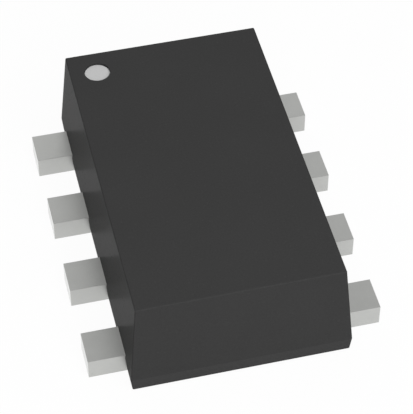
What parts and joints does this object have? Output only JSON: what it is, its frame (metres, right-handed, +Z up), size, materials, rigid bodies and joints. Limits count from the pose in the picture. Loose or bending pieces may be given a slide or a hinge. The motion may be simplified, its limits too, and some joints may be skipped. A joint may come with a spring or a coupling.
{
  "type": "switching regulator chip",
  "caption": "Low rectangular moulded chip with flat leads along both long sides, which steps a supply voltage down on a circuit board.",
  "frame": {"origin": "on the board plane, under the middle of the body", "axes": "+X across the leads, +Y along the body towards the end with the mark of pin 1, +Z up from the board"},
  "size_m": [0.0016, 0.002, 0.0006],
  "materials": {
    "mould_compound": "fine matt dark mould compound",
    "mark_ink": "matt light grey mark",
    "lead_plating": "satin tin plating",
    "pillar_copper": "plated copper",
    "solder": "reflowed solder",
    "silicon": "ground silicon"
  },
  "bodies": {
    "root": {"copper_pillar_1": "pillar_copper", "copper_pillar_2": "pillar_copper", "copper_pillar_3a": "pillar_copper", "copper_pillar_3b": "pillar_copper", "copper_pillar_4a": "pillar_copper", "copper_pillar_4b": "pillar_copper", "copper_pillar_5a": "pillar_copper", "copper_pillar_5b": "pillar_copper", "copper_pillar_5c": "pillar_copper", "copper_pillar_6": "pillar_copper", "copper_pillar_7": "pillar_copper", "copper_pillar_8": "pillar_copper", "lead_1": "lead_plating", "lead_2": "lead_plating", "lead_3": "lead_plating", "lead_4": "lead_plating", "lead_5": "lead_plating", "lead_6": "lead_plating", "lead_7": "lead_plating", "lead_8": "lead_plating", "mould_body": "mould_compound", "pin_1_mark": "mark_ink", "silicon_die": "silicon", "solder_cap_1": "solder", "solder_cap_2": "solder", "solder_cap_3a": "solder", "solder_cap_3b": "solder", "solder_cap_4a": "solder", "solder_cap_4b": "solder", "solder_cap_5a": "solder", "solder_cap_5b": "solder", "solder_cap_5c": "solder", "solder_cap_6": "solder", "solder_cap_7": "solder", "solder_cap_8": "solder"}
  },
  "joints": []
}
